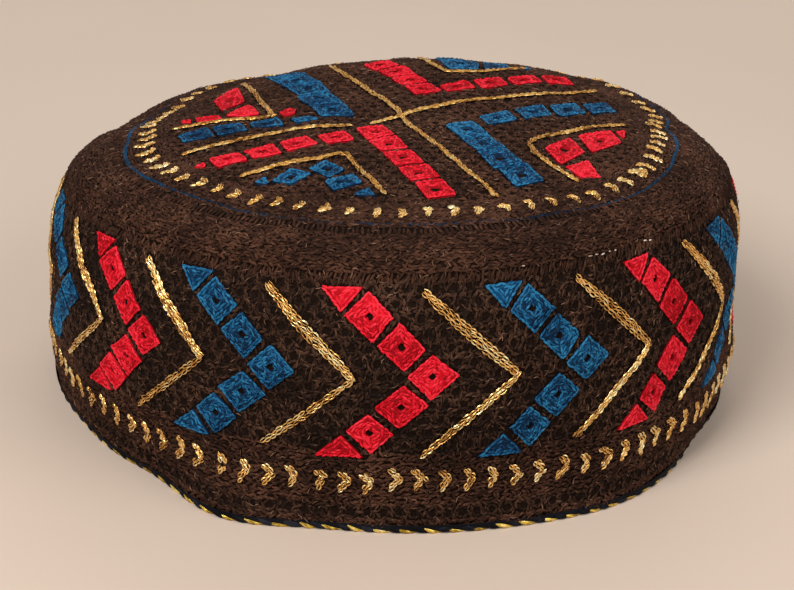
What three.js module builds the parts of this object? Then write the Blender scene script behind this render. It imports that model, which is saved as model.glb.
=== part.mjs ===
// Round pillbox cap of thick embroidered cloth, resting on its rim as it stands by itself.
// Four sewn parts: a low domed crown, an upright side band, the overcast seam between them
// and the whipped edging around the open rim. The rim is in the plane z = 0 and the head goes in from below.
import * as THREE from 'three';

// Driving sizes in millimetres
const RIM_RADIUS = 95;
const WAIST_RADIUS = 96.7;
const SEAM_RADIUS = 91.7;
const RING_RADIUS = 77.2;
const SEAM_HEIGHT = 64.7;
const RING_HEIGHT = 72.7;
const CROWN_HEIGHT = 78.7;
const WALL = 2.4;
const GAP = 0.3;

// Edging and seam
const EDGING_HEIGHT = 2.6;
const EDGING_PROUD = 0.7;
const SEAM_WIDTH = 5.3;
const SEAM_PROUD = 0.7;

// The soft cap leans: its top rises to the right and to the front, and lies a little to the right
const RISE_RIGHT = 0.045;
const RISE_FRONT = 0.072;
const SHIFT_RIGHT = 1.2;

// Moves the model so that the middle of its box is over the origin
const CENTRE_X = -0.11;
const CENTRE_Y = 0;

const SEGMENTS = 80;

// Bulges and dents of the side: angle from the front (positive to the right), height, spreads, millimetres out
const SIDE_SHAPES = [
  { angle: -90, height: 58, wide: 38, tall: 26, out: 2.0 },
  { angle: 60, height: 30, wide: 6, tall: 24, out: 1.4 },
  { angle: 84, height: 34, wide: 15, tall: 18, out: -0.8 },
  { angle: 86, height: 13, wide: 14, tall: 11, out: 2.6 },
  { angle: -90, height: 12, wide: 15, tall: 14, out: 2.4 },
  { angle: -24, height: 0, wide: 10, tall: 14, out: 5.0 },
  { angle: -42, height: 0, wide: 9, tall: 10, out: -2.2 },
  { angle: 40, height: 0, wide: 14, tall: 18, out: 2.4 },
  { angle: -60, height: 0, wide: 12, tall: 8, out: -1.6 },
  { angle: 66, height: 0, wide: 10, tall: 8, out: -2.2 },
  { angle: -112, height: 70, wide: 26, tall: 14, out: -2.6 },
  { angle: 108, height: 72, wide: 24, tall: 14, out: -3.0 },
];

// Rises and dips of the crown: angle, distance from the middle, spread, millimetres up
const CROWN_SHAPES = [
  { angle: 142, radius: 62, wide: 28, up: 2.2 },
  { angle: -110, radius: 84, wide: 25, up: -2.5 },
  { angle: 106, radius: 84, wide: 22, up: -1.5 },
  { angle: 178, radius: 86, wide: 24, up: -3.0 },
  { angle: -152, radius: 86, wide: 24, up: -2.8 },
  { angle: 152, radius: 86, wide: 22, up: -1.8 },
  { angle: -176, radius: 56, wide: 34, up: 3.2 },
];

const radians = (degrees) => (degrees * Math.PI) / 180;
const bell = (distance, spread) => Math.exp(-((distance / spread) ** 2));

function sideOut(angle, z) {
  let out = 0;
  for (const shape of SIDE_SHAPES) {
    const turn = angle - radians(shape.angle);
    const away = Math.atan2(Math.sin(turn), Math.cos(turn));
    out += shape.out * bell(away, radians(shape.wide)) * bell(z - shape.height, shape.tall);
  }
  return out;
}

function crownUp(x, y) {
  let up = 0;
  for (const shape of CROWN_SHAPES) {
    const centreX = shape.radius * Math.sin(radians(shape.angle));
    const centreY = -shape.radius * Math.cos(radians(shape.angle));
    up += shape.up * bell(Math.hypot(x - centreX, y - centreY), shape.wide);
  }
  return up;
}

// Puts a point of the round profile on the leaning, dented cap
function onCap([radius, z], angle) {
  const lean = Math.min(z / SEAM_HEIGHT, 1);
  const nearRim = Math.min(radius / RING_RADIUS, 1);
  const r = radius + sideOut(angle, z) * nearRim ** 4;
  const x = r * Math.sin(angle);
  const y = -r * Math.cos(angle);
  const height = z + lean * (RISE_RIGHT * x - RISE_FRONT * y + crownUp(x, y));
  return [x + lean * SHIFT_RIGHT + CENTRE_X, y + CENTRE_Y, height];
}

// Moves each point of an open profile inward, square to the profile
function inset(profile, depth) {
  return profile.map((point, i) => {
    const before = profile[Math.max(i - 1, 0)];
    const after = profile[Math.min(i + 1, profile.length - 1)];
    const dr = after[0] - before[0];
    const dz = after[1] - before[1];
    const length = Math.hypot(dr, dz);
    const r = point[0] === 0 ? 0 : point[0] - (depth * dz) / length;
    return [r, point[1] + (depth * dr) / length];
  });
}

// Turns a section around the cap into one closed solid; points on the axis become one vertex
function turned(section) {
  const positions = [];
  const rows = section.map((point) => {
    const onAxis = point[0] === 0;
    const start = positions.length / 3;
    const count = onAxis ? 1 : SEGMENTS;
    for (let k = 0; k < count; k += 1) positions.push(...onCap(point, (2 * Math.PI * k) / SEGMENTS));
    return (k) => start + (onAxis ? 0 : k % SEGMENTS);
  });
  const faces = [];
  rows.forEach((row, i) => {
    const next = rows[(i + 1) % rows.length];
    for (let k = 0; k < SEGMENTS; k += 1) {
      const [a, b, c, d] = [row(k), row(k + 1), next(k + 1), next(k)];
      if (a !== b) faces.push(a, b, c);
      if (c !== d) faces.push(a, c, d);
    }
  });
  const geometry = new THREE.BufferGeometry();
  geometry.setAttribute('position', new THREE.Float32BufferAttribute(positions, 3));
  geometry.setIndex(faces);
  geometry.computeVertexNormals();
  return geometry;
}

// Outer profile of the side band, from the edging up to the seam
const bandBottom = EDGING_HEIGHT + GAP;
const bandTop = SEAM_HEIGHT - SEAM_WIDTH / 2 + GAP;
const sideProfile = [
  [RIM_RADIUS, bandBottom],
  [RIM_RADIUS + 0.6, 13.6],
  [WAIST_RADIUS - 0.3, 25],
  [WAIST_RADIUS, 36.5],
  [WAIST_RADIUS - 0.4, 46],
  [WAIST_RADIUS - 1.6, 55.5],
  [SEAM_RADIUS + 1.2, bandTop],
];

// Outer profile of the crown, from the seam over the shoulder to the middle
const crownProfile = [
  [SEAM_RADIUS - 1.1, SEAM_HEIGHT + SEAM_WIDTH / 2 - GAP],
  [87.6, 69.5],
  [83.4, 71.2],
  [RING_RADIUS, RING_HEIGHT],
  [71.3, 74.1],
  [60, 75.9],
  [45, 77.4],
  [25, CROWN_HEIGHT - 0.3],
  [0, CROWN_HEIGHT],
];

const sideInside = inset(sideProfile, WALL);
const crownInside = inset(crownProfile, WALL);

// The seam ring fills the joint, a gap away from both edges, and stands a little proud
function seamSection() {
  const [low, high] = [sideProfile.at(-1), crownProfile[0]];
  const [lowIn, highIn] = [sideInside.at(-1), crownInside[0]];
  const length = Math.hypot(high[0] - low[0], high[1] - low[1]);
  const along = [(high[0] - low[0]) / length, (high[1] - low[1]) / length];
  const stepped = (point, step) => [point[0] + along[0] * step, point[1] + along[1] * step];
  const proud = (part) => {
    const point = stepped(low, length * part);
    return [point[0] + along[1] * SEAM_PROUD, point[1] - along[0] * SEAM_PROUD];
  };
  return [
    stepped(low, GAP),
    proud(0.3),
    proud(0.7),
    stepped(high, -GAP),
    stepped(highIn, -GAP),
    stepped(lowIn, GAP),
  ];
}

// The edging is a flat-bottomed roll that wraps the rim and stands proud on both sides
function edgingSection() {
  const outer = RIM_RADIUS + EDGING_PROUD;
  const inner = RIM_RADIUS - WALL - EDGING_PROUD;
  const soft = 0.7;
  return [
    [inner + soft, 0],
    [outer - soft, 0],
    [outer, soft],
    [outer, EDGING_HEIGHT - soft],
    [outer - soft, EDGING_HEIGHT],
    [inner + soft, EDGING_HEIGHT],
    [inner, EDGING_HEIGHT - soft],
    [inner, soft],
  ];
}

// Outer profile up, inner profile back down; the crown closes on the axis
const closed = (outside, inside) => [...outside, ...inside.toReversed()];

function part(name, section, colour) {
  const material = new THREE.MeshStandardMaterial({ color: colour, roughness: 0.9, metalness: 0 });
  const mesh = new THREE.Mesh(turned(section), material);
  mesh.name = name;
  return mesh;
}

const cap = new THREE.Group();
cap.add(part('rim_edging', edgingSection(), 0xb79a4a));
cap.add(part('side_band', closed(sideProfile, sideInside), 0x4a3026));
cap.add(part('crown_seam', seamSection(), 0x3c2a22));
cap.add(part('crown', closed(crownProfile, crownInside), 0x4a3026));

export default cap;
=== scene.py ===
# Embroidered round cap: two cloth walls, and each stitch on them as a small raised leaf of thread
import bmesh
import bpy
import numpy as np
from mathutils import Matrix, Vector


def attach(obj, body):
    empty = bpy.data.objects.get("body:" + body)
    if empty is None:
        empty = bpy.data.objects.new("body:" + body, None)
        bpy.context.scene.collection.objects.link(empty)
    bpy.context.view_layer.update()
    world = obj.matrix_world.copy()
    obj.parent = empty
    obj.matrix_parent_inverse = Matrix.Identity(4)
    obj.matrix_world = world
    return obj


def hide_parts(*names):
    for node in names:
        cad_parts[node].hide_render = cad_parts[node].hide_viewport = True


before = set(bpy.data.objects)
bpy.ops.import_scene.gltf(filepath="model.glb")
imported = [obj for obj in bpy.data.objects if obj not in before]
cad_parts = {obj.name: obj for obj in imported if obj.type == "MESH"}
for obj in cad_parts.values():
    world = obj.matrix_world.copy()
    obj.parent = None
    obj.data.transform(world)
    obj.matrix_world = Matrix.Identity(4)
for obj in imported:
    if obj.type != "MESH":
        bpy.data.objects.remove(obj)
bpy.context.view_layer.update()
rng = np.random.default_rng(11)

# Shape of the cap, in millimetres, as in the part's source
MM = 0.001
RIM_RADIUS = 95.0
WAIST_RADIUS = 96.7
SEAM_RADIUS = 91.7
RING_RADIUS = 77.2
SEAM_HEIGHT = 64.7
RING_HEIGHT = 72.7
CROWN_HEIGHT = 78.7
WALL = 2.4
RISE_RIGHT = 0.045
RISE_FRONT = 0.072
SHIFT_RIGHT = 1.2
CENTRE_X = -0.11

# Bulges and dents of the side: angle, height, spread in degrees, spread in height, millimetres out
SIDE_SHAPES = (
    (-90, 58, 38, 26, 2.0), (60, 30, 6, 24, 1.4), (84, 34, 15, 18, -0.8), (86, 13, 14, 11, 2.6),
    (-90, 12, 15, 14, 2.4), (-24, 0, 10, 14, 5.0), (-42, 0, 9, 10, -2.2), (40, 0, 14, 18, 2.4),
    (-60, 0, 12, 8, -1.6), (66, 0, 10, 8, -2.2), (-112, 70, 26, 14, -2.6), (108, 72, 24, 14, -3.0),
)
# Rises and dips of the crown: angle, distance from the middle, spread, millimetres up
CROWN_SHAPES = (
    (142, 62, 28, 2.2), (-110, 84, 25, -2.5), (106, 84, 22, -1.5), (178, 86, 24, -3.0),
    (-152, 86, 24, -2.8), (152, 86, 22, -1.8), (-176, 56, 34, 3.2),
)
# Outer profile from the rim to the middle of the crown: radius, height
PROFILE = np.array(
    [
        (RIM_RADIUS, 0), (RIM_RADIUS, 2.9), (RIM_RADIUS + 0.6, 13.6), (WAIST_RADIUS - 0.3, 25),
        (WAIST_RADIUS, 36.5), (WAIST_RADIUS - 0.4, 46), (WAIST_RADIUS - 1.6, 55.5),
        (SEAM_RADIUS + 1.2, 62.3), (SEAM_RADIUS + 0.2, SEAM_HEIGHT), (SEAM_RADIUS - 1.1, 67.1),
        (87.6, 69.5), (83.4, 71.2), (RING_RADIUS, RING_HEIGHT), (71.3, 74.1), (60, 75.9),
        (45, 77.4), (25, CROWN_HEIGHT - 0.3), (0, CROWN_HEIGHT),
    ]
)

# Zones of the embroidery, by distance up the outer surface from the rim
EDGE_LINE = (1.4, 3.5)
EYELET_ZONE = (3.3, 7.1)
LOW_LINE = (6.9, 10.4)
CHEVRON_ZONE = (10.4, 18.8)
HIGH_LINE = (18.8, 21.4)
PATTERN_ZONE = (21.4, 64.0)
SEAM_PLACE = 65.6
SHOULDER_ZONE = (65.8, 79.0)
RIB_ZONE = (78.6, 82.4)
RING_ZONE = (82.0, 94.6)
BLUE_RING = 83.9
GOLD_RING = 89.6
LOW_CHEVRONS = 14.0
# How far the two rings stray from their places: angle, millimetres towards the middle
RING_STRAYS = (
    (-180, -8), (-150, -9), (-128, -8.5), (-115, -4), (-100, -2), (-85, 0), (-70, -1), (-30, 0),
    (20, -1), (35, -2.5), (50, -3.5), (60, -2.5), (75, -0.5), (97, -1.5), (107, -7), (118, -8.5),
    (150, -9), (180, -8),
)
CROWN_ZONE_RADIUS = 67.0

# Embroidery of the side: tips of the gold chevrons that show, in degrees from the front
SEEN_TIPS = (-75.0, -52.0, -30.0, -5.6, 19.2, 43.2, 65.4, 91.0)
CHEVRONS = 16
USUAL_SPACING = 24.0
GOLD_REACH = 14.2
GOLD_TOP, GOLD_TIP, GOLD_BOTTOM = 61.4, 40.4, 21.4
# Distance from an end over which the rows of a gold line draw together
TAPER_LENGTH = 7.0
# Coloured tiles of one chevron: degrees behind the tip, place, half an edge along the row and across it
ARM_TILES = (
    (9.6, 55.6, (3.55, -3.15), (2.6, 2.85)),
    (4.9, 48.3, (3.55, -3.15), (2.6, 2.85)),
    (4.5, 33.7, (3.55, 3.15), (3.4, -2.85)),
    (8.7, 26.4, (2.6, 2.8), (3.4, -2.85)),
)
# The tile at the tip by its corners, and the triangles at both ends by degrees from the tip and place
TIP_PLACE = 41.2
TIP_TILE = ((-6.4, 0.1), (0.0, -5.8), (6.7, -0.2), (-0.2, 5.8))
END_TILES = (
    ((-17.4, 62.4), (-13.9, 56.2), (-10.8, 62.7)),
    ((-16.9, 19.7), (-9.3, 20.0), (-12.9, 25.7)),
)


def smooth_line(points, steps=3000):
    """Cubic curve through the points, as distance along it and its two coordinates."""
    along = np.r_[0, np.cumsum(np.hypot(*np.diff(points, axis=0).T))]
    gaps = np.diff(along)
    places = np.linspace(0, along[-1], steps)
    index = np.clip(np.searchsorted(along, places) - 1, 0, len(gaps) - 1)
    t = (places - along[index]) / gaps[index]
    out = []
    for values in points.T:
        slope = np.diff(values) / gaps
        inner = (slope[:-1] * gaps[1:] + slope[1:] * gaps[:-1]) / (gaps[:-1] + gaps[1:])
        tangent = np.r_[slope[0], inner, slope[-1]]
        a, b = values[index], values[index + 1]
        p, q = tangent[index] * gaps[index], tangent[index + 1] * gaps[index]
        rise = (2 * t**3 - 3 * t**2 + 1) * a + (t**3 - 2 * t**2 + t) * p
        out.append(rise + (3 * t**2 - 2 * t**3) * b + (t**3 - t**2) * q)
    length = np.r_[0, np.cumsum(np.hypot(np.diff(out[0]), np.diff(out[1])))]
    return length, out[0], out[1]


PLACE, RADIUS, HEIGHT = smooth_line(PROFILE)
ON_TOP = PLACE > SEAM_PLACE


def bell(distance, spread):
    return np.exp(-((distance / spread) ** 2))


def on_cap(radius, z, angle):
    """Puts points of the round profile on the leaning, dented cap."""
    out = 0
    for middle, height, wide, tall, push in SIDE_SHAPES:
        turn = angle - np.radians(middle)
        away = np.arctan2(np.sin(turn), np.cos(turn))
        out = out + push * bell(away, np.radians(wide)) * bell(z - height, tall)
    lean = np.minimum(z / SEAM_HEIGHT, 1)
    r = radius + out * np.minimum(radius / RING_RADIUS, 1) ** 4
    x, y = r * np.sin(angle), -r * np.cos(angle)
    up = 0
    for middle, place, wide, push in CROWN_SHAPES:
        across = x - place * np.sin(np.radians(middle))
        back = y + place * np.cos(np.radians(middle))
        up = up + push * bell(np.hypot(across, back), wide)
    height = z + lean * (RISE_RIGHT * x - RISE_FRONT * y + up)
    return np.stack([x + lean * SHIFT_RIGHT + CENTRE_X, y, height], -1)


def unit(vectors):
    return vectors / (np.linalg.norm(vectors, axis=-1, keepdims=True) + 1e-12)


def uneven(points):
    """Slight unevenness of the hand-made surface, in millimetres, from a few long waves."""
    waves = np.random.default_rng(5)
    count, shortest, longest, height = 7, 11, 34, 0.11
    total = 0
    for _ in range(count):
        direction = unit(waves.normal(size=3))
        length = waves.uniform(shortest, longest)
        phase = waves.uniform(0, 2 * np.pi)
        total = total + height * np.sin(points @ direction * 2 * np.pi / length + phase)
    return total


def raised(here, first, second, lift):
    """Lifts points off the surface, square to its two directions there."""
    normal = unit(np.cross(first, second))
    return here + normal * (lift + uneven(here))[..., None]


def stray(most, shape=None):
    """Random distances to either side."""
    return rng.uniform(-most, most, shape)


# Small steps that give the directions of the surface: angle, millimetres
SMALL_ANGLE, SMALL_STEP = 0.004, 0.4


class Band:
    """Side and shoulder: u runs around at the waist's radius, v up the outer surface."""

    radius = WAIST_RADIUS
    around = 2 * np.pi * WAIST_RADIUS
    eyelet = 0.85
    gold_spacing = 0.98
    gold_bow = 0.29
    gold_taper = 0.5

    @staticmethod
    def stretch(v):
        return WAIST_RADIUS / np.interp(v, PLACE, RADIUS)

    @staticmethod
    def place(u, v, lift):
        def at(angle, s):
            return on_cap(np.interp(s, PLACE, RADIUS), np.interp(s, PLACE, HEIGHT), angle)

        angle = u / WAIST_RADIUS
        first = at(angle + SMALL_ANGLE, v) - at(angle - SMALL_ANGLE, v)
        second = at(angle, v + SMALL_STEP) - at(angle, v - SMALL_STEP)
        return raised(at(angle, v), first, second, lift)


class Crown:
    """Top of the cap: u to the right and v to the back, from the middle of the crown."""

    eyelet = 1.35
    gold_spacing = 0.62
    gold_bow = 0.2
    gold_taper = 0.2

    @staticmethod
    def stretch(v):
        return np.ones_like(v)

    @staticmethod
    def place(u, v, lift):
        radius, height = RADIUS[ON_TOP][::-1], HEIGHT[ON_TOP][::-1]

        def at(x, y):
            r = np.hypot(x, y)
            return on_cap(r, np.interp(r, radius, height), np.arctan2(x, -y))

        first = at(u + SMALL_STEP, v) - at(u - SMALL_STEP, v)
        second = at(u, v + SMALL_STEP) - at(u, v - SMALL_STEP)
        return raised(at(u, v), first, second, lift)


class Roll:
    """Rim edging: u runs around, v from the outside under the rim to the inside."""

    radius = RIM_RADIUS
    around = 2 * np.pi * RIM_RADIUS
    centre_radius = RIM_RADIUS - WALL / 2 + 0.4
    half = WALL / 2 + 0.15
    centre_height = half + 0.12
    straight = 0.7
    length = 2 * straight + np.pi * half
    floor_gap = 0.02

    @staticmethod
    def stretch(v):
        return np.ones_like(v)

    @classmethod
    def place(cls, u, v, lift):
        angle = u / RIM_RADIUS
        bend = np.clip((v - cls.straight) / cls.half, 0, np.pi)
        outside = np.maximum(cls.straight - v, 0)
        inside_wall = np.maximum(v - cls.straight - np.pi * cls.half, 0)
        reach = cls.half + lift
        radius = cls.centre_radius + reach * np.cos(bend)
        height = cls.centre_height + (outside + inside_wall) - reach * np.sin(bend)
        return on_cap(radius, np.maximum(height, cls.floor_gap), angle)


def put(name, data):
    """Adds an object to the scene."""
    made = bpy.data.objects.new(name, data)
    bpy.context.collection.objects.link(made)
    return made


class Stitches:
    """Collects leaves of thread and other small faces, and makes them one mesh."""

    # Form of a leaf: how much it narrows and sinks towards its tips, and how deep its edges lie
    narrowing, sinking, edge_depth = 0.92, 0.75, 0.2

    def __init__(self, name):
        self.name = name
        self.points, self.quads, self.tones, self.threads = [], [], [], []
        self.count = 0

    def grid(self, points, tone, thread):
        """points: leaf, along, across, 3. Adds a skin over each leaf's grid."""
        n, rows, columns = points.shape[:3]
        index = np.arange(n * rows * columns).reshape(n, rows, columns) + self.count
        corners = (index[:, :-1, :-1], index[:, 1:, :-1], index[:, 1:, 1:], index[:, :-1, 1:])
        self.quads.append(np.stack(corners, -1).reshape(-1, 4))
        self.points.append(points.reshape(-1, 3))
        self.tones.append(np.repeat(tone, rows * columns))
        self.threads.append(np.broadcast_to(thread, points.shape[:3] + (2,)).reshape(-1, 2))
        self.count += n * rows * columns

    def leaves(
        self, chart, u, v, turn, length, width, height, lift=0.0, bend=0.0, tone=None, steps=(3, 3)
    ):
        """One raised, pointed leaf of thread at each place, all sizes in millimetres."""
        shape = np.broadcast_shapes(*(np.shape(x) for x in (u, v, turn, length, bend)))

        def each(values):
            return np.broadcast_to(np.asarray(values, float), shape).reshape(-1, 1, 1)

        u, v, turn, length = each(u), each(v), each(turn), each(length)
        width, height, lift, bend = each(width), each(height), each(lift), each(bend)
        if tone is None:
            tone = rng.uniform(0, 1, len(u))
        t = np.linspace(-1, 1, steps[0])[None, :, None]
        side = np.linspace(-np.pi / 2, np.pi / 2, steps[1])[None, None, :]
        half = width / 2 * np.sqrt(1 - (self.narrowing * t) ** 2)
        across = -np.sin(side) * half + bend * (1 - t**2)
        along = t * length / 2 + 0 * side
        round_top = (1 - self.sinking * t**2) * np.cos(side) * (1 + self.edge_depth)
        rise = height * (round_top - self.edge_depth) + lift
        du = along * np.cos(turn) - across * np.sin(turn)
        dv = along * np.sin(turn) + across * np.cos(turn)
        points = chart.place(u + du * chart.stretch(v), v + dv, rise)
        thread = np.stack(np.broadcast_arrays(along, side * width / 3), -1)
        self.grid(points, np.broadcast_to(tone, shape).ravel(), thread)

    def build(self):
        points = np.concatenate(self.points) * MM
        quads = np.concatenate(self.quads)
        mesh = bpy.data.meshes.new(self.name)
        mesh.vertices.add(len(points))
        mesh.vertices.foreach_set("co", points.astype(np.float32).ravel())
        mesh.loops.add(quads.size)
        mesh.loops.foreach_set("vertex_index", quads.astype(np.int32).ravel())
        mesh.polygons.add(len(quads))
        mesh.polygons.foreach_set("loop_start", np.arange(0, quads.size, 4, dtype=np.int32))
        mesh.update(calc_edges=True)
        mesh.polygons.foreach_set("use_smooth", np.ones(len(quads), bool))
        tone = mesh.attributes.new("tone", "FLOAT", "POINT")
        tone.data.foreach_set("value", np.concatenate(self.tones).astype(np.float32))
        thread = mesh.uv_layers.new(name="thread")
        uv = np.concatenate(self.threads)[quads.ravel()]
        thread.data.foreach_set("uv", uv.astype(np.float32).ravel())
        return put(self.name, mesh)


# Materials


def node(tree, kind, **values):
    """Adds a node: sets its own settings and its inputs, and links the inputs that take an output."""
    made = tree.nodes.new(kind)
    for name, value in values.items():
        if hasattr(made, name):
            setattr(made, name, value)
        elif isinstance(value, bpy.types.NodeSocket):
            tree.links.new(value, made.inputs[name])
        else:
            made.inputs[name].default_value = value
    return made


def paint(tree, shader, source, stops):
    """Colours the shader by a value between 0 and 1."""
    made = tree.nodes.new("ShaderNodeValToRGB")
    elements = made.color_ramp.elements
    while len(elements) < len(stops):
        elements.new(0.5)
    for element, (position, colour) in zip(elements, stops):
        element.position = position
        element.color = (*colour, 1)
    tree.links.new(source, made.inputs["Fac"])
    tree.links.new(made.outputs["Color"], shader.inputs["Base Color"])


def new_material(name, **values):
    """A material with these inputs of its shader set, its nodes, and the shader."""
    material = bpy.data.materials.new(name)
    material.use_nodes = True
    tree = material.node_tree
    shader = tree.nodes["Principled BSDF"]
    for key, value in values.items():
        shader.inputs[key.replace("_", " ")].default_value = value
    return material, tree, shader


# Scale of a thread's strands along and across it; shares of tone, strands and patches in its colour
STRAND_SCALE = (0.7, 4.0, 0.0)
TONE_WEIGHT, STRAND_WEIGHT, PATCH_WEIGHT = 0.35, 1.1, 0.7


def thread_material(
    name, dark, middle, light, roughness=0.8, shine=0.12, metallic=0.0, stops=(0.3, 0.52, 0.84), bump=0.5
):
    """Twisted thread: a tone for each stitch, soft patches, and fine strands along the stitch; the light
    colour, which the brightest strands and stitches take, is painted sheen.
    """
    material, tree, shader = new_material(
        name, Roughness=roughness, Metallic=metallic, Specular_IOR_Level=shine
    )
    link = tree.links.new
    tone = node(tree, "ShaderNodeAttribute", attribute_name="tone")
    own = node(tree, "ShaderNodeUVMap", uv_map="thread")
    spread = node(tree, "ShaderNodeVectorMath", operation="SCALE", Scale=31.0)
    link(tone.outputs["Vector"], spread.inputs[0])
    along = node(tree, "ShaderNodeVectorMath", operation="MULTIPLY_ADD")
    link(own.outputs["UV"], along.inputs[0])
    along.inputs[1].default_value = STRAND_SCALE
    link(spread.outputs[0], along.inputs[2])
    strands = node(tree, "ShaderNodeTexNoise", Scale=1.0, Detail=2.0, Vector=along.outputs[0])
    place = node(tree, "ShaderNodeTexCoord").outputs["Object"]
    patches = node(tree, "ShaderNodeTexNoise", Scale=70.0, Detail=3.0, Vector=place)
    total = None
    for source, weight in ((tone, TONE_WEIGHT), (strands, STRAND_WEIGHT), (patches, PATCH_WEIGHT)):
        part = node(tree, "ShaderNodeMath", operation="MULTIPLY_ADD")
        link(source.outputs["Fac"], part.inputs[0])
        part.inputs[1].default_value = weight
        part.inputs[2].default_value = 0.5 - 0.5 * (TONE_WEIGHT + STRAND_WEIGHT + PATCH_WEIGHT)
        if total:
            link(total.outputs[0], part.inputs[2])
        total = part
    paint(tree, shader, total.outputs[0], tuple(zip(stops, (dark, middle, light))))
    height = strands.outputs["Fac"]
    relief = node(tree, "ShaderNodeBump", Strength=bump, Distance=0.00025, Height=height)
    link(relief.outputs["Normal"], shader.inputs["Normal"])
    return material


def cloth_material(name, dark, light):
    """Base cloth under the stitches, and the wrong side of the embroidery inside; its near-black colour
    is partly painted shade, where it shows through the eyelets and gaps.
    """
    material, tree, shader = new_material(name, Roughness=0.95, Specular_IOR_Level=0.05)
    place = node(tree, "ShaderNodeTexCoord").outputs["Object"]
    lumps = node(tree, "ShaderNodeTexVoronoi", Scale=420.0, Vector=place).outputs["Distance"]
    fibres = node(tree, "ShaderNodeTexNoise", Scale=1900.0, Detail=5.0, Vector=place).outputs["Fac"]
    paint(tree, shader, fibres, ((0.3, dark), (0.75, light)))
    relief = node(tree, "ShaderNodeBump", Strength=0.6, Distance=0.0006, Height=lumps)
    lumpy = relief.outputs["Normal"]
    relief = node(tree, "ShaderNodeBump", Strength=0.6, Distance=0.0003, Height=fibres, Normal=lumpy)
    tree.links.new(relief.outputs["Normal"], shader.inputs["Normal"])
    return material


CLOTH = cloth_material("cloth", (0.006, 0.0032, 0.0024), (0.018, 0.0095, 0.0065))
# Brown and ground threads: the light colour is painted sheen on the brightest strands, the dark colour
# darker thread together with painted shade in the gaps and eyelets
BROWN = thread_material(
    "brown_thread", (0.017, 0.0066, 0.0038), (0.038, 0.0155, 0.0090), (0.105, 0.045, 0.027)
)
GROUND = thread_material(
    "ground_thread", (0.009, 0.0045, 0.003), (0.024, 0.0110, 0.0068), (0.090, 0.043, 0.026)
)
FIBRE = thread_material("loose_fibre", (0.06, 0.028, 0.018), (0.12, 0.062, 0.04), (0.26, 0.15, 0.10))
# Red and blue threads: the light colour is painted highlights on the brightest stitches
RED = thread_material(
    "red_thread", (0.30, 0.001, 0.006), (0.70, 0.003, 0.018), (0.86, 0.034, 0.062),
    roughness=0.65, stops=(0.34, 0.5, 0.76),
)
BLUE = thread_material(
    "blue_thread", (0.0006, 0.014, 0.045), (0.0016, 0.061, 0.170), (0.024, 0.195, 0.39),
    roughness=0.55, stops=(0.34, 0.5, 0.76),
)
DEEP_BLUE = thread_material(
    "deep_blue_thread", (0.0005, 0.008, 0.024), (0.001, 0.028, 0.075), (0.004, 0.07, 0.165), roughness=0.6
)
# Gold thread: the light colour is painted glints and the dark colour painted shade in the gaps between
# links; the metallic shine adds real glints from the lamps
GOLD = thread_material(
    "gold_thread", (0.20, 0.07, 0.012), (0.95, 0.53, 0.14), (1.0, 0.88, 0.50),
    roughness=0.26, shine=0.4, metallic=0.6, stops=(0.2, 0.5, 0.78), bump=1.2,
)
# Crown gold: a darker, more orange copy of the gold thread, painted shade that offsets the stronger light
# on the top of the cap; its light colour is painted glints
SHADED_CROWN_GOLD = thread_material(
    "shaded_crown_gold_thread", (0.17, 0.06, 0.01), (0.80, 0.40, 0.085), (1.0, 0.75, 0.32),
    roughness=0.28, shine=0.4, metallic=0.6, stops=(0.2, 0.52, 0.84), bump=1.2,
)
RIM_GOLD = thread_material(
    "rim_gold_thread", (0.25, 0.15, 0.012), (0.78, 0.54, 0.08), (1.0, 0.92, 0.48),
    roughness=0.3, shine=0.5, metallic=0.6, bump=0.9,
)
NAVY = thread_material(
    "navy_thread", (0.001, 0.0012, 0.0025), (0.004, 0.005, 0.009), (0.018, 0.020, 0.032)
)
PALE = thread_material("pale_thread", (0.30, 0.22, 0.17), (0.5, 0.40, 0.33), (0.8, 0.72, 0.64))

# Pattern of the side


def tip_angles():
    """Tips of the gold chevrons all around, in degrees: those that show, and even ones behind."""
    seen = list(SEEN_TIPS)
    behind = CHEVRONS - len(seen)
    step = (seen[0] + 360 - seen[-1]) / (behind + 1)
    return seen + [seen[-1] + step * (k + 1) for k in range(behind)]


def on_band(degrees):
    return np.radians(degrees) * Band.radius


# Gold chevrons: the lower arm's share of the upper arm's reach, and the rows of both arms
LOWER_REACH, UPPER_ROWS, LOWER_ROWS = 0.96, 3, 2
# Degrees by which a coloured chevron lies back from the middle between two gold ones
TILES_BACK = 0.6


def side_patterns():
    """Gold lines as (points, rows), and coloured tiles, in places on the band."""
    tips = tip_angles()
    lines, tiles = [], []
    for k, tip in enumerate(tips):
        after = tips[(k + 1) % CHEVRONS] + (360 if k == CHEVRONS - 1 else 0)
        before = tips[k - 1] - (360 if k == 0 else 0)
        size = (tip - before) / USUAL_SPACING
        u = on_band(tip)
        back = on_band(GOLD_REACH * size)
        wobble = stray(0.5, 4)
        upper = [(u - back + wobble[0], GOLD_TOP + wobble[1]), (u, GOLD_TIP)]
        lower = [(u, GOLD_TIP), (u - back * LOWER_REACH + wobble[2], GOLD_BOTTOM)]
        lines += [(upper, UPPER_ROWS), (lower, LOWER_ROWS)]
        middle = (tip + after) / 2 - TILES_BACK
        size = (after - tip) / USUAL_SPACING
        tiles += coloured_chevron("red" if k % 2 else "blue", on_band(middle), size)
    return lines, tiles


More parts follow.
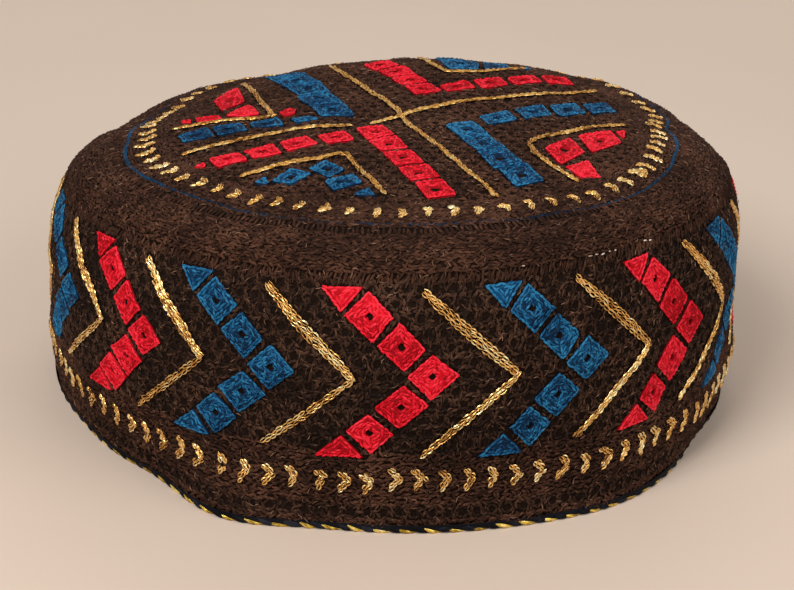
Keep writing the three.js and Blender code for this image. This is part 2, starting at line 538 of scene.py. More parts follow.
def coloured_chevron(colour, u, size):
    """Tiles of one chevron with its tip at u, as (colour, corners, has an eyelet)."""
    found = []
    for behind, v, along, across in ARM_TILES:
        centre = (u - on_band(behind * size), v)
        along, across = np.array(along) * (size, 1), np.array(across)
        shape = [b * across - a * along for a, b in ((1, -1), (-1, -1), (-1, 1), (1, 1))]
        found.append((colour, sewn_corners(centre, shape), True))
    tip = np.array(TIP_TILE) * (size, 1)
    found.append((colour, sewn_corners((u, TIP_PLACE), tip), True))
    for shape in END_TILES:
        corners = np.array([(u + on_band(x * size), y) for x, y in shape])
        found.append((colour, corners, False))
    return found


def sewn_corners(centre, shape):
    """Corners of a tile, each a little off its place."""
    centre = np.array(centre) + stray(0.2, 2)
    return centre + shape + stray(0.36, np.shape(shape))


# Pattern of the crown, in millimetres from its middle: a gold cross, and an angled line in each quarter
CROSS_BACK_TO_FRONT = [
    (-22, 51.5), (-17.5, 37.5), (-11.5, 25), (-2.5, 5), (-0.5, -2), (2, -11), (12, -34),
    (17.5, -47), (24.5, -60.5),
]
CROSS_LEFT = [(-59, -25.5), (-45, -19), (-30, -12), (-21.5, -10.5), (-15, -9)]
CROSS_RIGHT = [
    (-9, -8), (-5.5, -5.5), (-1.5, -2.5), (2, 1.5), (5.5, 5), (12.5, 9.5), (20.5, 13),
    (39, 20.5), (48.5, 26.5), (56.5, 32.5),
]
ANGLES = (
    [(-42, -45.5), (-20.5, -36.5), (-17.5, -34), (-15, -34.5), (-10.5, -45.5), (-4, -62)],
    [
        (62, -0.5), (56, -3), (50, -7), (39.5, -16), (36, -20), (34, -24), (35.5, -32.5),
        (41.5, -43), (46, -48.5),
    ],
    [(4, 60), (7.5, 49), (12.5, 38.5), (20.5, 40.5), (35.5, 47)],
    [(-63.5, -2.5), (-54.5, 0), (-39, 0), (-36.5, 1), (-40, 14), (-43.5, 27), (-48.5, 46.5)],
)
# Straight rows of tiles: colour, count, first and last centre, a tile's edge along the row and across it
TILE_ROWS = (
    ("red", 5, (-8, -16), (9, -57.5), (3.5, -9), (7.5, 2.5)),
    ("red", 4, (-18.5, -19.5), (-46.5, -33.5), (7.5, 4), (3, -7.5)),
    ("blue", 4, (17, -13), (31, -46.5), (4.5, -11), (7.5, 4)),
    ("blue", 4, (26.5, -1.5), (56.5, 15.5), (8, 5.5), (2.5, -8.5)),
    ("red", 4, (5.5, 22.5), (-7, 47.5), (-3.5, 7), (7.5, 3.5)),
    ("red", 4, (15.5, 25.5), (45, 38), (8, 4.5), (2.5, -6)),
    ("blue", 5, (-20, 4.5), (-36, 48.5), (-4, 10.5), (9.5, 2)),
    ("blue", 2, (-47.5, -8), (-57, -11.5), (8, 3), (2.5, -7.5)),
)
# Single tiles: colour, corners, has an eyelet
SINGLE_TILES = (
    ("red", [(38, -28), (45.5, -16), (49, -28), (42, -37.5)], True),
    ("red", [(48, -13), (57.5, -7), (60, -17), (51, -27.5)], True),
    ("red", [(43, -39), (49.5, -33), (52.5, -43.5), (47, -45.5)], False),
    ("red", [(59, -6.5), (62.5, -4), (61, -13)], False),
    ("blue", [(-34, -49.5), (-29, -43.5), (-23.5, -47.5), (-28.5, -53)], True),
    ("blue", [(-24.5, -44), (-20.5, -38.5), (-15, -44), (-19, -50)], True),
    ("blue", [(-20, -52), (-12.5, -47), (-10, -54.5), (-17.5, -58)], True),
    ("blue", [(-38.5, -50), (-35.5, -47), (-34.5, -51.5)], False),
    ("blue", [(-12.5, -60.5), (-8, -57.5), (-6.5, -62)], False),
    ("red", [(-56, 28), (-49.5, 39.5), (-46, 20.5), (-52, 11.5)], True),
    ("red", [(-50, 5), (-44.5, 17), (-40.5, 3.5), (-45, 2)], False),
    ("red", [(-63, 6.5), (-60, 6), (-59.5, 2.5), (-62, 3)], False),
    ("red", [(-59, 7), (-52, 7), (-50.5, 3), (-58, 2.5)], False),
    ("red", [(-55, -36), (-52.5, -33.5), (-52, -37.5)], False),
    ("red", [(-35, 4), (-32.5, 7), (-30, 5), (-30.5, 1), (-33.5, 0)], False),
    ("blue", [(-43, -3.5), (-35, -1), (-33, -6.5), (-41.5, -8.5)], True),
    ("blue", [(-31.5, -3), (-25.5, -1.5), (-23, -4), (-30, -6)], False),
    ("blue", [(8.5, 59), (16, 60), (22, 50.5), (21.5, 44), (13.5, 42.5)], True),
    ("blue", [(23, 54.5), (30.5, 56.5), (31.5, 49.5), (23.5, 45)], False),
    ("blue", [(33.5, 48), (38, 49.5), (34.5, 52.5)], False),
)
CROWN_GOLD_ROWS = 2


def crown_tiles():
    """Tiles of the crown as (colour, corners, has an eyelet)."""
    found = []
    for colour, count, first, last, along, across in TILE_ROWS:
        for centre in np.linspace(first, last, count):
            centre = centre + stray(0.4, 2)
            found.append((colour, tile_corners(centre, np.array(along), np.array(across)), True))
    for colour, corners, eyelet in SINGLE_TILES:
        corners = np.array(corners) + stray(0.15, np.shape(corners))
        found.append((colour, corners, eyelet))
    return found


def tile_corners(centre, along, across):
    signs = ((-1, -1), (1, -1), (1, 1), (-1, 1))
    corners = np.array([centre + (a * along + b * across) / 2 for a, b in signs])
    return corners + stray(0.2, corners.shape)


def counterclockwise(corners):
    x, y = corners.T
    area = np.sum(x * np.roll(y, -1) - np.roll(x, -1) * y)
    return corners if area > 0 else corners[::-1]


# Room that other stitches leave around a tile, and beside a gold line for each of its rows
TILE_MARGIN, LINE_MARGIN = 0.3, 0.45


def inside(corners, u, v):
    """True where a place lies within the corners or close outside them."""
    corners = counterclockwise(np.asarray(corners))
    within = np.ones(u.shape, bool)
    for (x0, y0), (x1, y1) in zip(corners, np.roll(corners, -1, 0)):
        length = np.hypot(x1 - x0, y1 - y0)
        side = ((x1 - x0) * (v - y0) - (y1 - y0) * (u - x0)) / length
        within &= side > -TILE_MARGIN
    return within


def near_line(points, u, v, width):
    """True where a place lies nearer to the line than a width."""
    close = np.zeros(u.shape, bool)
    for (x0, y0), (x1, y1) in zip(points, points[1:]):
        dx, dy = x1 - x0, y1 - y0
        t = np.clip(((u - x0) * dx + (v - y0) * dy) / (dx * dx + dy * dy), 0, 1)
        close |= np.hypot(u - x0 - t * dx, v - y0 - t * dy) < width
    return close


def keep_off(u, v, lines, tiles, around=None):
    """True at the places that no tile and no gold line covers."""
    free = np.ones(u.shape, bool)
    for shift in (0, around, -around) if around else (0,):
        for _, corners, _ in tiles:
            free &= ~inside(corners, u + shift, v)
        for points, rows in lines:
            free &= ~near_line(points, u + shift, v, rows * LINE_MARGIN)
    return free


# Kinds of stitching

# Width and height of the leaves of each kind of stitch
ROW_LEAF, TILE_LEAF, RIB_LEAF = (0.82, 0.46), (0.7, 0.38), (0.85, 0.5)
SEAM_LEAF, SEWING_LEAF, FIBRE_LEAF = (0.66, 0.46), (0.36, 0.22), (0.26, 0.16)
# Points along and across the leaves that show a curve
FINE_STEPS = (4, 3)

# Padding of a tile: points along each side, a closed eyelet's radius, tone, and its edges in shares of
# the tile's outline and of the eyelet, each with a lift; the low tone paints shade where the padding
# shows in the eyelet and at the tile's edge
SIDE_POINTS, CLOSED_EYELET, PADDING_SHADE_TONE = 4, 0.05, 0.12
PADDING_OUTSIDE = ((0.95, -0.4), (0.93, 0.22))
PADDING_INSIDE = ((1.35, 0.25), (1.0, -0.5))


def padding(stitches, chart, corners, eyelet):
    """Raised padding of a tile, sunk at its edge and in its eyelet, in a low tone that paints shade
    there.
    """
    centre = corners.mean(0)
    t = np.arange(SIDE_POINTS)[:, None] / SIDE_POINTS
    outline = np.concatenate([a * (1 - t) + b * t for a, b in zip(corners, np.roll(corners, -1, 0))])
    outline = np.vstack([outline, outline[:1]])
    turn = np.arctan2(*(outline - centre).T[::-1])
    hole = np.stack([np.cos(turn), np.sin(turn)], 1) * (chart.eyelet if eyelet else CLOSED_EYELET)
    rings = [(centre + (outline - centre) * share, lift) for share, lift in PADDING_OUTSIDE]
    rings += [(centre + hole * share, lift) for share, lift in PADDING_INSIDE]
    points = np.stack([chart.place(*ring.T, np.full(len(ring), lift)) for ring, lift in rings])
    stitches.grid(points[None], np.array([PADDING_SHADE_TONE]), np.zeros(2))


# Thread of a tile: distance of the first round from the edge, distance between rounds, length of a
# stitch, and the room left at an open and at a closed eyelet
FIRST_ROUND, ROUND_SPACING, TILE_STITCH = 0.33, 0.6, 1.3
EYELET_ROOM, CLOSED_ROOM = 0.25, 0.35
# Each round: looseness, darkest tone, lift
EDGE_ROUND = (0.55, 0.4, 0.33)
INNER_ROUND = (1.0, 0.0, 0.26)


def fill_tile(stitches, chart, corners, eyelet):
    """A tile: raised padding, and rounds of thread from its edge in to the eyelet."""
    corners = counterclockwise(np.asarray(corners, float))
    padding(stitches, chart, corners, eyelet)
    centre = corners.mean(0)
    sides = list(zip(corners, np.roll(corners, -1, 0)))
    reach = min(np.abs(np.cross(b - a, centre - a)) / np.hypot(*(b - a)) for a, b in sides)
    room = chart.eyelet + EYELET_ROOM if eyelet else CLOSED_ROOM
    depth = reach - FIRST_ROUND - room
    rounds = max(1, int(round(depth / ROUND_SPACING)) + 1)
    for k in range(rounds):
        share = 1 - (FIRST_ROUND + k * depth / max(rounds - 1, 1)) / reach
        loose, darkest, lift = INNER_ROUND if k else EDGE_ROUND
        for first, second in sides:
            start = centre + (first - centre) * share
            side = centre + (second - centre) * share - start
            length = np.hypot(*side)
            count = max(1, int(round(length / TILE_STITCH)))
            t = (np.arange(count) + 0.5 + stray(0.3, count) * loose) / count
            place = start + side * t[:, None] + rng.normal(0, 0.11, (count, 2)) * loose
            turn = np.arctan2(side[1], side[0]) + rng.normal(0, 0.32, count) * loose
            long = length / count * rng.uniform(1.1, 1.2 + 0.4 * loose, count)
            lifts = lift + stray(0.13, count) * loose
            tone = rng.uniform(darkest, 1, count)
            stitches.leaves(chart, *place.T, turn, long, *TILE_LEAF, lift=lifts, tone=tone)


# Gold chain: height and lift of its leaves, and how far along the line its direction is taken
GOLD_HEIGHT, GOLD_LIFT, GOLD_AHEAD = 0.38, 0.36, 1.5


def gold_line(stitches, chart, points, rows, spacing, pitch=1.9, thread=0.36, taper=0.0):
    """Rows of chain stitch side by side: each link is two bowed leaves with a gap between."""
    points = np.asarray(points, float)
    along = np.r_[0, np.cumsum(np.hypot(*np.diff(points, axis=0).T))]

    def at(places):
        places = np.clip(places, 0, along[-1])
        return np.stack([np.interp(places, along, values) for values in points.T])

    for row in range(rows):
        places = np.arange(pitch * (0.3 + 0.5 * (row % 2)), along[-1], pitch)
        n = len(places)
        places = places + rng.normal(0, 0.16, n)
        narrowed = 1 - taper * bell(np.minimum(places, along[-1] - places), TAPER_LENGTH)
        u, v = at(places)
        du, dv = at(places + GOLD_AHEAD) - at(places - GOLD_AHEAD)
        turn = np.arctan2(dv, du) + rng.normal(0, 0.1, n)
        shift = (row - (rows - 1) / 2) * spacing * narrowed + rng.normal(0, 0.09, n)
        u, v = u - np.sin(turn) * shift, v + np.cos(turn) * shift
        for side in (-1, 1):
            apart = side * rng.uniform(0.02, 0.16, n)
            turned = turn + rng.normal(0, 0.08, n)
            length = pitch * rng.uniform(1.0, 1.35, n)
            width = thread * rng.uniform(0.75, 1.2, n)
            lift = GOLD_LIFT + rng.uniform(0, 0.22, n)
            bend = side * chart.gold_bow * rng.uniform(0.75, 1.25, n)
            stitches.leaves(
                chart, u - np.sin(turn) * apart, v + np.cos(turn) * apart, turned, length, width,
                GOLD_HEIGHT, lift=lift, bend=bend, steps=FINE_STEPS,
            )


def thread_rows(stitches, zone, rough=0.28, lines=(), tiles=()):
    """Dense rows of small slanted stitches around the band, with gaps for the gold lines and tiles."""
    spacing, pitch, slant = 0.82, 1.3, 0.34
    low, high = zone
    count = max(1, int(round((high - low) / spacing)))
    for row in range(count):
        v = low + (row + 0.5) * (high - low) / count
        around = int(Band.around / Band.stretch(v) / pitch)
        u = (np.arange(around) + stray(0.3, around) + 0.5 * (row % 2)) / around * Band.around
        turn = (slant if row % 2 else -slant) + rng.normal(0, rough, around)
        v = v + rng.normal(0, rough / 2, around)
        lift = rng.uniform(-0.15, 0.12, around)
        length = rng.uniform(1.5, 2.2, around)
        free = keep_off(u, v, lines, tiles, Band.around)
        stitches.leaves(Band, u[free], v[free], turn[free], length[free], *ROW_LEAF, lift=lift[free])


# The two rings of stitches around an eyelet: distance, its spread, swirl, lengths, tones; the inner
# ring's darker tones are painted shade beside the hole
EYELET_RINGS = (
    (1.32, 0.12, 0.3, (1.2, 1.7), (0.0, 0.6)),
    (2.3, 0.25, 0.7, (1.3, 2.1), (0.25, 1.0)),
)
RING_STITCHES = 8


def net(places_u, places_v):
    """Stitches that ring each eyelet, with painted shade on those beside the hole, and looser ones
    between.
    """
    rings = []
    size = (len(places_u), RING_STITCHES)
    start = rng.uniform(0, 2 * np.pi, len(places_u))[:, None]
    around = np.arange(RING_STITCHES)[None, :] / RING_STITCHES * 2 * np.pi
    for reach, spread, swirl, length, tone in EYELET_RINGS:
        angle = start + around + rng.normal(0, 0.12, size)
        away = reach + rng.normal(0, spread, size)
        u = places_u[:, None] + np.cos(angle) * away
        v = places_v[:, None] + np.sin(angle) * away
        turn = angle + np.pi / 2 + rng.normal(0.25, swirl, size)
        rings.append((u, v, turn, rng.uniform(*length, size), rng.uniform(*tone, size)))
    return [np.concatenate([a.ravel(), b.ravel()]) for a, b in zip(*rings)]


def eyelet_grid(width, low, high, pitch=4.15, rise=3.6):
    """Staggered places of eyelets over a width and a height."""
    rows = max(1, int(round((high - low) / rise)))
    count = int(round(width / pitch))
    u, v = [], []
    for row in range(rows):
        u.append((np.arange(count) + 0.5 * (row % 2) + stray(0.1, count)) * width / count)
        v.append(low + (row + 0.5) * (high - low) / rows + rng.normal(0, 0.15, count))
    return np.concatenate(u), np.concatenate(v)


# Pieces

# Ground stitches: lift of the darkest, how much higher the lightest lie, widths, height; the darker
# stitches lie lower, with painted shade in the hollows at the eyelets
GROUND_LIFT, LIGHT_RISE = -0.22, 0.25
GROUND_WIDTHS, GROUND_HEIGHT = (0.66, 0.92), 0.42


def ground_leaves(name, chart, places, pick):
    u, v, turn, length, tone = (values[pick] for values in places)
    stitches = Stitches(name)
    n = len(u)
    lift = GROUND_LIFT + LIGHT_RISE * tone + stray(0.08, n)
    width = rng.uniform(*GROUND_WIDTHS, n)
    stitches.leaves(chart, u, v, turn, length, width, GROUND_HEIGHT, lift=lift, tone=tone)
    return stitches.build()


def side_ground(lines, tiles):
    """Brown ground of the side, as a front and a back piece."""
    pattern = net(*eyelet_grid(Band.around, *PATTERN_ZONE))
    low = net(*eyelet_grid(Band.around, *EYELET_ZONE))
    places = [np.concatenate([a, b]) for a, b in zip(pattern, low)]
    places[0] = (places[0] + Band.around / 2) % Band.around - Band.around / 2
    u, v = places[:2]
    free = keep_off(u, v, lines, tiles, Band.around) & (v > EDGE_LINE[0])
    front = np.abs(u) < Band.around / 4
    return [
        ground_leaves("side_ground_front", Band, places, free & front),
        ground_leaves("side_ground_back", Band, places, free & ~front),
    ]


def side_rows(lines, tiles):
    """Dense brown rows of the side, above and below the small chevrons and between them."""
    stitches = Stitches("side_rows")
    for zone in (EDGE_LINE, LOW_LINE, CHEVRON_ZONE, HIGH_LINE):
        thread_rows(stitches, zone, rough=0.42, lines=lines, tiles=tiles)
    return stitches.build()


def shoulder():
    """Smooth band of small stitches around the shoulder, and the ribbed row inside it."""
    stitches = Stitches("shoulder_rows")
    thread_rows(stitches, SHOULDER_ZONE)
    low, high = RIB_ZONE
    pitch, shortest = 1.3, 2.6
    middle = (low + high) / 2
    count = int(Band.around / Band.stretch(middle) / pitch)
    u = (np.arange(count) + stray(0.2, count)) / count * Band.around
    turn = np.pi / 2 + rng.normal(0.1, 0.15, count)
    length = rng.uniform(shortest, high - low, count)
    tone = rng.uniform(0, 0.8, count)
    v = middle + rng.normal(0, 0.3, count)
    stitches.leaves(Band, u, v, turn, length, *RIB_LEAF, tone=tone, steps=FINE_STEPS)
    thread_rows(stitches, RING_ZONE)
    return stitches.build()


def ring_stray(u):
    return np.interp(np.degrees(u / Band.radius), *zip(*RING_STRAYS))


# Angle from the front at which the blue ring is boldest, and the spread of its bold part
BOLD_ANGLE, BOLD_SPREAD = 82, 34


def blue_ring():
    """A thin blue line around the crown, bolder at the sides and sunk between the rows in front."""
    stitches = Stitches("blue_ring")
    pitch, length, height = 1.2, 2.0, 0.42
    count = int(Band.around / Band.stretch(BLUE_RING) / pitch)
    u = ((np.arange(count) + stray(0.2, count)) / count - 0.5) * Band.around
    bold = bell(np.abs(np.degrees(u / Band.radius)) - BOLD_ANGLE, BOLD_SPREAD)
    width = 0.5 + 0.15 * bold
    middle = BLUE_RING + ring_stray(u) + 0.3 * np.sin(u / 13 + 1)
    for row in (-0.5, 0.5):
        v = middle + row * 0.4 * bold + rng.normal(0, 0.08, count)
        lift = -0.12 + 0.4 * bold + stray(0.1, count)
        tone = np.clip(0.1 + 0.6 * bold + rng.uniform(-0.1, 0.2, count), 0, 1)
        turn = rng.normal(0, 0.16, count)
        stitches.leaves(Band, u, v, turn, length, width, height, lift=lift, tone=tone, steps=FINE_STEPS)
    return stitches.build()


# Two layers of overcast stitches: lean, its spread, distance below the seam
SEAM_LAYERS = ((-0.34, 0.2, 0.9), (-0.1, 0.34, 1.3))


def seam():
    """Overcast stitches over the seam."""
    stitches = Stitches("crown_seam_stitches")
    count = int(Band.around / 1.25)
    for lean, spread, drop in SEAM_LAYERS:
        u = (np.arange(count) + stray(0.3, count)) / count * Band.around
        v = SEAM_PLACE - drop + rng.normal(0, 0.35, count)
        turn = np.pi / 2 + lean + rng.normal(0, spread, count)
        lift = rng.uniform(-0.14, 0.12, count)
        tone = rng.uniform(0.05, 0.75, count)
        length = rng.uniform(1.9, 3.2, count)
        stitches.leaves(Band, u, v, turn, length, *SEAM_LEAF, lift=lift, tone=tone, steps=FINE_STEPS)
    return stitches.build()


# Where the short pale stitches of the sewing thread show: angle, stitches
SEWING_SHOWS = ((19.8, 1), (31.4, 5), (43.0, 2), (112.0, 5), (-148.0, 6))


def sewing_dashes():
    stitches = Stitches("sewing_thread")
    pitch, lift = 2.1, 0.66
    for angle, count in SEWING_SHOWS:
        u = on_band(angle) + (np.arange(count) + stray(0.15, count)) * pitch
        v = SEAM_PLACE + 0.1 + rng.normal(0, 0.12, count)
        length = rng.uniform(0.6, 1.3, count)
        turn = rng.normal(0.0, 0.1, count)
        stitches.leaves(Band, u, v, turn, length, *SEWING_LEAF, lift=lift, steps=FINE_STEPS)
    return stitches.build()


def small_chevron(stitches, u, v, reach, rise, stretch=1.0):
    """A small gold chevron: two short arms of chain links that meet at the right."""
    tilt = rng.normal(0, 0.25)
    for sign in (1, -1):
        back = (reach + sign * tilt) * stretch
        start = (u - back + rng.normal(0, 0.2), v + sign * rise + rng.normal(0, 0.2))
        end = (u + rng.normal(0, 0.2), v + rng.normal(0, 0.15))
        gold_line(stitches, Band, [start, end], rows=2, spacing=0.86, pitch=1.4, thread=0.45)


def low_chevrons():
    """The row of small chevrons above the rim, on a line that waves a little."""
    stitches = Stitches("low_chevrons")
    count = 93
    for k in range(count):
        u = (k + 0.35 + stray(0.05)) / count * Band.around
        v = LOW_CHEVRONS + 0.5 * np.sin(u / 60 + 1.0)
        small_chevron(stitches, u + 1.0, v, rng.uniform(1.9, 2.7), rng.uniform(2.3, 2.8))
    return stitches.build()


# A thick cluster where the ring of small chevrons was closed: angle, place, reach, rise
EXTRA_CHEVRONS = ((59.5, 88.0, 2.2, 1.3), (61.0, 86.9, 2.0, 1.2))


def crown_chevrons():
    """The ring of small chevrons on the crown, larger at the sides."""
    stitches = Stitches("crown_chevrons")
    count = 68
    for k in range(count):
        u = ((k + 0.2 + stray(0.08)) / count - 0.5) * Band.around
        v = GOLD_RING + ring_stray(u) + rng.normal(0, 0.2)
        size = 0.8 + 0.25 * bell(np.abs(np.degrees(u / Band.radius)) - 90, 40)
        reach, rise = rng.uniform(1.4, 2.2) * size, rng.uniform(1.9, 2.5) * size
        small_chevron(stitches, u, v, reach, rise, Band.stretch(v))
    for degrees, v, reach, rise in EXTRA_CHEVRONS:
        small_chevron(stitches, on_band(degrees), v, reach, rise, Band.stretch(v))
    return stitches.build()


def gold_lines(name, chart, lines):
    stitches = Stitches(name)
    for points, rows in lines:
        gold_line(stitches, chart, points, rows, chart.gold_spacing, taper=chart.gold_taper)
    return stitches.build()


def tiles_of(name, chart, colour, tiles):
    stitches = Stitches(name)
    for tile_colour, corners, eyelet in tiles:
        if tile_colour == colour:
            fill_tile(stitches, chart, corners, eyelet)
    return stitches.build()


def crown_ground(lines, tiles):
    """Brown ground of the crown, with its eyelets."""
    u, v = eyelet_grid(2 * CROWN_ZONE_RADIUS, -CROWN_ZONE_RADIUS, CROWN_ZONE_RADIUS)
    u = u - CROWN_ZONE_RADIUS
    within = np.hypot(u, v) < CROWN_ZONE_RADIUS - 0.6
    places = net(u[within], v[within])
    u, v = places[:2]
    free = keep_off(u, v, lines, tiles) & (np.hypot(u, v) < CROWN_ZONE_RADIUS + 0.8)
    return ground_leaves("crown_ground", Crown, places, free)


def loose_fibres(name, chart, u, v):
    """Short lighter fibres that lie on top of the stitches in all directions."""
    stitches = Stitches(name)
    n = len(u)
    turn = rng.uniform(0, np.pi, n)
    lift = rng.uniform(0.3, 0.5, n)
    length = rng.uniform(0.8, 1.9, n)
    bend = rng.normal(0, 0.2, n)
    stitches.leaves(chart, u, v, turn, length, *FIBRE_LEAF, lift=lift, bend=bend)
    return stitches.build()


def side_fibres(lines, tiles):
    n, low, high = 2800, 2.0, 83.0
    u = stray(0.5, n) * Band.around
    v = rng.uniform(low, high, n)
    free = keep_off(u, v, lines, tiles, Band.around)
    return loose_fibres("side_fibres", Band, u[free], v[free])


def crown_fibres(lines, tiles):
    n, radius = 1200, 78
    angle = rng.uniform(0, 2 * np.pi, n)
    away = radius * np.sqrt(rng.uniform(0, 1, n))
    u, v = away * np.cos(angle), away * np.sin(angle)
    free = keep_off(u, v, lines, tiles)
    return loose_fibres("crown_fibres", Crown, u[free], v[free])


# Wraps of the edging: pitch; how far, where and how widely they are tucked in
WRAP_PITCH = 6.45
TUCK, TUCK_ANGLE, TUCK_SPREAD = 1.1, 98, 34
# Name, share of a pitch ahead, distance below the roll's upper edge, length, width, height, lift
WRAPS = (
    ("rim_gold", 0.0, 1.05, 5.4, 0.95, 0.5, 0.16),
    ("rim_navy", 0.5, 0.7, 5.0, 1.6, 0.5, 0.06),
)


def edging():
    """Rim: a dark roll wrapped with slanted gold and navy threads."""
    roll = Stitches("rim_roll")
    u = np.linspace(0, Roll.around, 361)
    v = np.linspace(0, Roll.length, 14)
    uu, vv = np.meshgrid(u, v, indexing="ij")
    roll.grid(Roll.place(uu, vv, np.zeros_like(uu))[None], np.array([0.4]), np.zeros(2))
    wraps = []
    count = int(round(Roll.around / WRAP_PITCH))
    for name, ahead, below, length, width, height, lift in WRAPS:
        stitches = Stitches(name)
        u = (np.arange(count) + ahead + stray(0.06, count)) / count * Roll.around
        tucked = TUCK * bell(np.abs(np.degrees(u / Roll.radius) - 180) - TUCK_ANGLE, TUCK_SPREAD)
        outside = Roll.straight + below + tucked
        for v, turn in ((outside, 0.3), (Roll.length - Roll.straight - below, -0.3)):
            v = v + rng.normal(0, 0.1, count)
            turned = turn + rng.normal(0, 0.07, count)
            long = length * rng.uniform(0.88, 1.08, count)
            stitches.leaves(Roll, u, v, turned, long, width, height, lift=lift, steps=(6, 5))
        wraps.append(stitches.build())
    return [roll.build(), *wraps]


# Cloth walls: points around, depth under the stitches, and how far the two lap at the seam
WALL_STEPS, CLOTH_DEPTH, BAND_LAP, CROWN_LAP = 241, 0.35, 0.4, 0.2


def shell(name, places):
    """A closed cloth wall: outer skin, then back along the inside."""
    stitches = Stitches(name)
    outside = [(place, -CLOTH_DEPTH) for place in places]
    inner = [(place, -WALL) for place in places[::-1]]
    ring = np.array(outside + inner + outside[:1])
    around = np.linspace(-np.pi, np.pi, WALL_STEPS) * Band.radius
    uu, vv = np.meshgrid(around, ring[:, 0], indexing="ij")
    points = Band.place(uu, vv, np.broadcast_to(ring[:, 1], uu.shape))
    stitches.grid(points[None], np.array([0.5]), np.zeros(2))
    return weld(stitches.build())


def weld(piece):
    """Joins the points that lie on each other, so that the wall is closed."""
    mesh = bmesh.new()
    mesh.from_mesh(piece.data)
    bmesh.ops.remove_doubles(mesh, verts=mesh.verts, dist=1e-5)
    mesh.to_mesh(piece.data)
    mesh.free()
    return piece


def shells():
    """The walls of the band and of the crown, in places up the outer surface."""
    band = shell("side_cloth", np.linspace(1.2, SEAM_PLACE + BAND_LAP, 40))
    shoulder_places = np.linspace(SEAM_PLACE - CROWN_LAP, 95, 24)
    top_places = np.linspace(98, PLACE[-1] - 0.35, 26)
    return band, shell("crown_cloth", np.r_[shoulder_places, top_places])


def finish_piece(piece, material):
    piece.data.materials.append(material)
    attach(piece, "root")
    return piece


# The object

side_lines, side_tiles = side_patterns()
top_tiles = crown_tiles()
crown_gold = (CROSS_BACK_TO_FRONT, CROSS_LEFT, CROSS_RIGHT, *ANGLES)
top_lines = [(points, CROWN_GOLD_ROWS) for points in crown_gold]

side_cloth, crown_cloth = shells()
finish_piece(side_cloth, CLOTH)
finish_piece(crown_cloth, CLOTH)
for ground in side_ground(side_lines, side_tiles):
    finish_piece(ground, GROUND)
finish_piece(side_rows(side_lines, side_tiles), BROWN)
finish_piece(shoulder(), BROWN)
finish_piece(crown_ground(top_lines, top_tiles), BROWN)
finish_piece(side_fibres(side_lines, side_tiles), FIBRE)
finish_piece(crown_fibres(top_lines, top_tiles), FIBRE)
finish_piece(gold_lines("side_gold", Band, side_lines), GOLD)
finish_piece(gold_lines("crown_gold", Crown, top_lines), SHADED_CROWN_GOLD)
finish_piece(low_chevrons(), GOLD)
finish_piece(crown_chevrons(), GOLD)
for colour, thread in (("red", RED), ("blue", BLUE)):
    finish_piece(tiles_of("side_" + colour, Band, colour, side_tiles), thread)
for colour, thread in (("red", RED), ("blue", BLUE)):
    finish_piece(tiles_of("crown_" + colour, Crown, colour, top_tiles), thread)
finish_piece(blue_ring(), DEEP_BLUE)
seam_piece = finish_piece(seam(), BROWN)
finish_piece(sewing_dashes(), PALE)
rim_roll, rim_gold, rim_navy = edging()
finish_piece(rim_roll, NAVY)
finish_piece(rim_gold, RIM_GOLD)
finish_piece(rim_navy, NAVY)

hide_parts("side_band")
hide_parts("crown")
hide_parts("crown_seam")
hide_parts("rim_edging")

# Camera at the photo's angle
CAMERA_DISTANCE = 702.5
CAMERA_ELEVATION = 23.73
CAMERA_ROLL = 2.43
CAMERA_LOOKS_AT = (1.34, 0.0, 23.5)
CAMERA_ASIDE = -0.36
PIVOT_HEIGHT = 38.4
LENS = 111.3


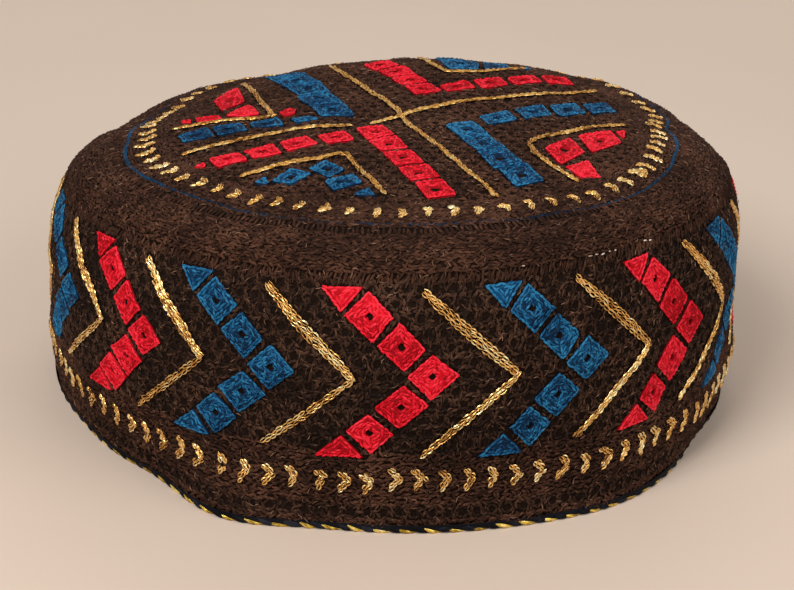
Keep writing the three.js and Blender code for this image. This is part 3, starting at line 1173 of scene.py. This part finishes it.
def add_camera():
    data = bpy.data.cameras.new("camera")
    data.lens = LENS
    data.sensor_width = 36
    camera = put("camera", data)
    rise = np.radians(CAMERA_ELEVATION)
    back, up = -np.cos(rise) * CAMERA_DISTANCE, np.sin(rise) * CAMERA_DISTANCE
    place = Vector((CAMERA_ASIDE, back, up + PIVOT_HEIGHT)) * MM
    forward = (Vector(CAMERA_LOOKS_AT) * MM - place).normalized()
    turn = forward.to_track_quat("-Z", "Y").to_matrix().to_4x4()
    roll = Matrix.Rotation(np.radians(CAMERA_ROLL), 4, "Z")
    camera.matrix_world = Matrix.Translation(place) @ turn @ roll
    bpy.context.scene.camera = camera


def add_floor():
    mesh = bpy.data.meshes.new("floor")
    half = 3.0
    corners = [(x * half, y * half, 0) for x, y in ((-1, -1), (1, -1), (1, 1), (-1, 1))]
    mesh.from_pydata(corners, [], [(0, 1, 2, 3)])
    floor = put("floor", mesh)
    material, tree, shader = new_material("floor", Roughness=0.9)
    place = node(tree, "ShaderNodeTexCoord").outputs["Object"]
    noise = node(tree, "ShaderNodeTexNoise", Scale=6.0, Detail=3.0, Vector=place)
    colours = ((0.3, (0.63, 0.525, 0.45)), (0.7, (0.66, 0.55, 0.475)))
    paint(tree, shader, noise.outputs["Fac"], colours)
    mesh.materials.append(material)


# Lights: name, place, size and watts; each looks at the cap
LIGHTS = (
    ("key", (-0.5, -0.8, 1.0), 0.6, 14.2),
    ("fill", (0.95, -0.6, 0.8), 1.0, 6.5),
    ("back", (0.1, 1.0, 1.0), 0.9, 3.8),
)
LIGHTS_LOOK_AT = (0, 0, 0.04)


def add_lights():
    for name, place, size, power in LIGHTS:
        data = bpy.data.lights.new(name, "AREA")
        data.size = size
        data.energy = power
        data.color = (1.0, 0.95, 0.88)
        light = put(name, data)
        light.location = place
        aim = Vector(LIGHTS_LOOK_AT) - Vector(place)
        light.rotation_euler = aim.to_track_quat("-Z", "Y").to_euler()
    world = bpy.data.worlds.new("studio")
    world.use_nodes = True
    sky = world.node_tree.nodes["Background"]
    sky.inputs["Color"].default_value = (0.92, 0.88, 0.83, 1)
    sky.inputs["Strength"].default_value = 0.36
    bpy.context.scene.world = world


bpy.context.scene.view_settings.view_transform = "Standard"
add_camera()
add_floor()
add_lights()
